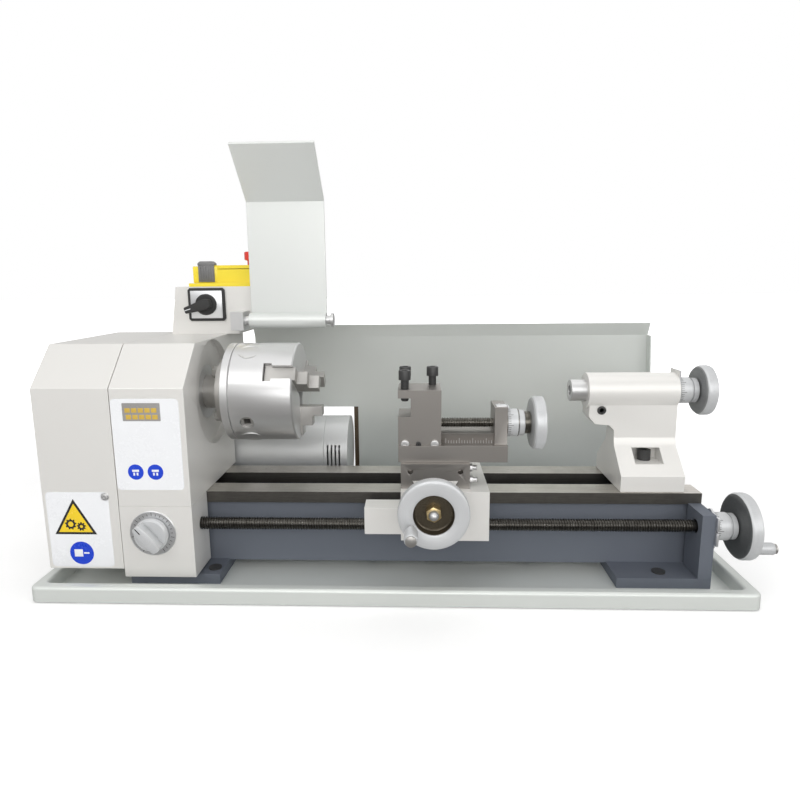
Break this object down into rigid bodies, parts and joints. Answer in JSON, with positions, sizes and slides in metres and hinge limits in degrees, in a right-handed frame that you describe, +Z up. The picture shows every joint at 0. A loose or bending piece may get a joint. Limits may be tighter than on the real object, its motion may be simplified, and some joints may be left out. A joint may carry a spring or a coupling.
{
  "type": "bench metal lathe",
  "caption": "Small bench metal lathe with chuck, hinged chuck guard, screw-fed carriage, cross and top slides, sliding tailstock, chip tray and splash guard.",
  "frame": {"origin": "under the spindle axis at the middle of the tray's length, on the plane of the tray's underside", "axes": "+X along the spindle from the headstock to the tailstock, the operator stands on the -Y side, +Z up"},
  "size_m": [0.5593, 0.2443, 0.3378],
  "materials": {
    "warm_grey_paint": "satin",
    "tray_paint": "satin",
    "bed_paint": "textured",
    "guard_paint": "satin",
    "bright_steel": "turned",
    "tool_steel": "ground",
    "slide_steel": "ground",
    "satin_metal": "satin",
    "black_steel": "satin",
    "bronze": "machined",
    "gear_plastic": "moulded",
    "pulley_metal": "machined",
    "motor_paint": "satin",
    "belt_rubber": "matte",
    "plate_metal": "brushed",
    "black_plastic": "moulded",
    "yellow_plastic": "moulded",
    "red_plastic": "moulded",
    "green_plastic": "moulded"
  },
  "bodies": {
    "frame": {"chip_tray": "tray_paint", "splash_guard": "tray_paint", "bed": "bed_paint", "frame_screws": "black_steel", "headstock_housing": "warm_grey_paint", "spindle_bearings": "bright_steel", "control_box": "warm_grey_paint", "drive_end_plate": "warm_grey_paint", "gear_cover": "warm_grey_paint", "motor_housing": "motor_paint", "motor_end_cap": "motor_paint", "drive_belt": "belt_rubber", "leadscrew_bracket": "warm_grey_paint", "switch_tower": "warm_grey_paint", "control_plates": "plate_metal", "switch_frame": "yellow_plastic", "guard_arbor": "bright_steel"},
    "spindle": {"spindle": "tool_steel", "spindle_drive_set": "pulley_metal", "chuck_backplate": "bright_steel", "chuck_body": "bright_steel"},
    "scroll": {"chuck_scroll": "tool_steel"},
    "jaw_1": {"chuck_jaw_1": "tool_steel"},
    "jaw_2": {"chuck_jaw_2": "tool_steel"},
    "jaw_3": {"chuck_jaw_3": "tool_steel"},
    "pinion_1": {"key_pinion_1": "tool_steel"},
    "pinion_2": {"key_pinion_2": "tool_steel"},
    "pinion_3": {"key_pinion_3": "tool_steel"},
    "motor_rotor": {"motor_rotor": "pulley_metal"},
    "stud_gear": {"stud_gear": "gear_plastic"},
    "leadscrew": {"leadscrew": "tool_steel", "leadscrew_dial": "satin_metal", "leadscrew_handwheel": "satin_metal"},
    "leadscrew_grip": {"leadscrew_grip": "satin_metal"},
    "carriage": {"saddle": "warm_grey_paint", "lead_nut": "bronze"},
    "cross_slide": {"cross_slide": "slide_steel", "cross_nut": "bronze", "top_slide_base": "slide_steel"},
    "cross_screw": {"cross_screw": "tool_steel", "cross_dial": "satin_metal", "cross_handwheel": "satin_metal"},
    "cross_grip": {"cross_grip": "satin_metal"},
    "tool_slide": {"tool_post": "slide_steel", "tool_clamp_screws": "black_steel"},
    "top_screw": {"top_screw": "tool_steel", "top_handwheel": "satin_metal"},
    "tailstock": {"tailstock_body": "warm_grey_paint", "tailstock_clamp": "bright_steel"},
    "quill": {"quill": "bright_steel"},
    "quill_screw": {"quill_screw": "tool_steel", "tailstock_dial": "satin_metal", "tailstock_handwheel": "satin_metal"},
    "selector_knob": {"selector_knob": "black_plastic"},
    "speed_knob": {"speed_knob": "satin_metal"},
    "start_button": {"start_button": "green_plastic"},
    "stop_button": {"stop_button": "red_plastic"},
    "switch_lid": {"switch_lid": "yellow_plastic"},
    "mushroom_button": {"mushroom_button": "red_plastic"},
    "chuck_guard": {"chuck_guard": "guard_paint"}
  },
  "joints": [
    {"name": "spindle_spin", "type": "hinge", "parent": "frame", "child": "spindle", "pos_m": [-0.1, 0, 0.143], "axis": [1, 0, 0], "continuous": true},
    {"name": "scroll_turn", "type": "hinge", "parent": "spindle", "child": "scroll", "pos_m": [-0.1, 0, 0.143], "axis": [1, 0, 0], "range_deg": [-540, 720]},
    {"name": "jaw_1_slide", "type": "slide", "parent": "spindle", "child": "jaw_1", "axis": [0, -0.848, 0.5299], "range_m": [-0.0062, 0.0083]},
    {"name": "pinion_1_turn", "type": "hinge", "parent": "spindle", "child": "pinion_1", "pos_m": [-0.111, 0, 0.143], "axis": [0, -0.8829, -0.4695], "range_deg": [-1630, 2175]},
    {"name": "jaw_2_slide", "type": "slide", "parent": "spindle", "child": "jaw_2", "axis": [0, -0.0349, -0.9994], "range_m": [-0.0062, 0.0083]},
    {"name": "pinion_2_turn", "type": "hinge", "parent": "spindle", "child": "pinion_2", "pos_m": [-0.111, 0, 0.143], "axis": [0, 0.848, -0.5299], "range_deg": [-1630, 2175]},
    {"name": "jaw_3_slide", "type": "slide", "parent": "spindle", "child": "jaw_3", "axis": [0, 0.8829, 0.4695], "range_m": [-0.0062, 0.0083]},
    {"name": "pinion_3_turn", "type": "hinge", "parent": "spindle", "child": "pinion_3", "pos_m": [-0.111, 0, 0.143], "axis": [0, 0.0349, 0.9994], "range_deg": [-1630, 2175]},
    {"name": "motor_spin", "type": "hinge", "parent": "frame", "child": "motor_rotor", "pos_m": [-0.1, 0.084, 0.07], "axis": [1, 0, 0], "continuous": true},
    {"name": "stud_spin", "type": "hinge", "parent": "frame", "child": "stud_gear", "pos_m": [-0.21, -0.01286, 0.10767], "axis": [1, 0, 0], "continuous": true},
    {"name": "carriage_slide", "type": "slide", "parent": "frame", "child": "carriage", "axis": [-1, 0, 0], "range_m": [-0.09, 0.05]},
    {"name": "leadscrew_turn", "type": "hinge", "parent": "frame", "child": "leadscrew", "pos_m": [0.2, -0.05, 0.0476], "axis": [1, 0, 0], "range_deg": [-9020, 16220]},
    {"name": "leadscrew_grip_spin", "type": "hinge", "parent": "leadscrew", "child": "leadscrew_grip", "pos_m": [0.28, -0.05, 0.0296], "axis": [1, 0, 0], "continuous": true},
    {"name": "cross_slide_travel", "type": "slide", "parent": "carriage", "child": "cross_slide", "axis": [0, 1, 0], "range_m": [-0.018, 0.035]},
    {"name": "cross_screw_turn", "type": "hinge", "parent": "carriage", "child": "cross_screw", "pos_m": [0.033, -0.09, 0.0736], "axis": [0, 1, 0], "range_deg": [-6500, 12620]},
    {"name": "cross_grip_spin", "type": "hinge", "parent": "cross_screw", "child": "cross_grip", "pos_m": [0.01741, -0.11, 0.0646], "axis": [0, 1, 0], "continuous": true},
    {"name": "tool_slide_travel", "type": "slide", "parent": "cross_slide", "child": "tool_slide", "axis": [-1, 0, 0], "range_m": [-0.034, 0.012]},
    {"name": "top_screw_turn", "type": "hinge", "parent": "cross_slide", "child": "top_screw", "pos_m": [0.1, -0.0386, 0.1253], "axis": [1, 0, 0], "range_deg": [-4340, 12260]},
    {"name": "tailstock_slide", "type": "slide", "parent": "frame", "child": "tailstock", "axis": [-1, 0, 0], "range_m": [0, 0.078]},
    {"name": "quill_travel", "type": "slide", "parent": "tailstock", "child": "quill", "axis": [1, 0, 0], "range_m": [-0.025, 0]},
    {"name": "quill_screw_turn", "type": "hinge", "parent": "tailstock", "child": "quill_screw", "pos_m": [0.24, 0, 0.143], "axis": [1, 0, 0], "range_deg": [-6020, 10]},
    {"name": "selector_turn", "type": "hinge", "parent": "frame", "child": "selector_knob", "pos_m": [-0.1635, 0.04, 0.213], "axis": [0, 1, 0], "range_deg": [0, 90]},
    {"name": "speed_turn", "type": "hinge", "parent": "frame", "child": "speed_knob", "pos_m": [-0.177, -0.07, 0.047], "axis": [0, 1, 0], "range_deg": [0, 280]},
    {"name": "start_press", "type": "slide", "parent": "frame", "child": "start_button", "axis": [0, 0, -1], "range_m": [0, 0.003], "stiffness_N_per_m": 400, "springref_m": -0.002},
    {"name": "stop_press", "type": "slide", "parent": "frame", "child": "stop_button", "axis": [0, 0, -1], "range_m": [0, 0.003], "stiffness_N_per_m": 400, "springref_m": -0.002},
    {"name": "switch_lid_hinge", "type": "hinge", "parent": "frame", "child": "switch_lid", "pos_m": [-0.108, 0.067, 0.244], "axis": [0, 1, 0], "range_deg": [0, 100]},
    {"name": "mushroom_press", "type": "slide", "parent": "switch_lid", "child": "mushroom_button", "axis": [0, 0, -1], "range_m": [0, 0.003], "stiffness_N_per_m": 400, "springref_m": -0.002},
    {"name": "chuck_guard_hinge", "type": "hinge", "parent": "frame", "child": "chuck_guard", "pos_m": [-0.09, 0.03, 0.1994], "axis": [1, 0, 0], "range_deg": [0, 92]}
  ],
  "couplings": [
    {"joint": "jaw_1_slide", "follows": "scroll_turn", "m_per_rad": 0.00063662},
    {"joint": "pinion_1_turn", "follows": "scroll_turn", "ratio": 3},
    {"joint": "jaw_2_slide", "follows": "scroll_turn", "m_per_rad": 0.00063662},
    {"joint": "pinion_2_turn", "follows": "scroll_turn", "ratio": 3},
    {"joint": "jaw_3_slide", "follows": "scroll_turn", "m_per_rad": 0.00063662},
    {"joint": "pinion_3_turn", "follows": "scroll_turn", "ratio": 3},
    {"joint": "motor_spin", "follows": "spindle_spin", "ratio": 2.7692},
    {"joint": "stud_spin", "follows": "spindle_spin", "ratio": -0.5},
    {"joint": "leadscrew_turn", "follows": "carriage_slide", "rad_per_m": -3141.6},
    {"joint": "cross_screw_turn", "follows": "cross_slide_travel", "rad_per_m": 6283.2},
    {"joint": "top_screw_turn", "follows": "tool_slide_travel", "rad_per_m": -6283.2},
    {"joint": "quill_screw_turn", "follows": "quill_travel", "rad_per_m": 4188.8}
  ]
}
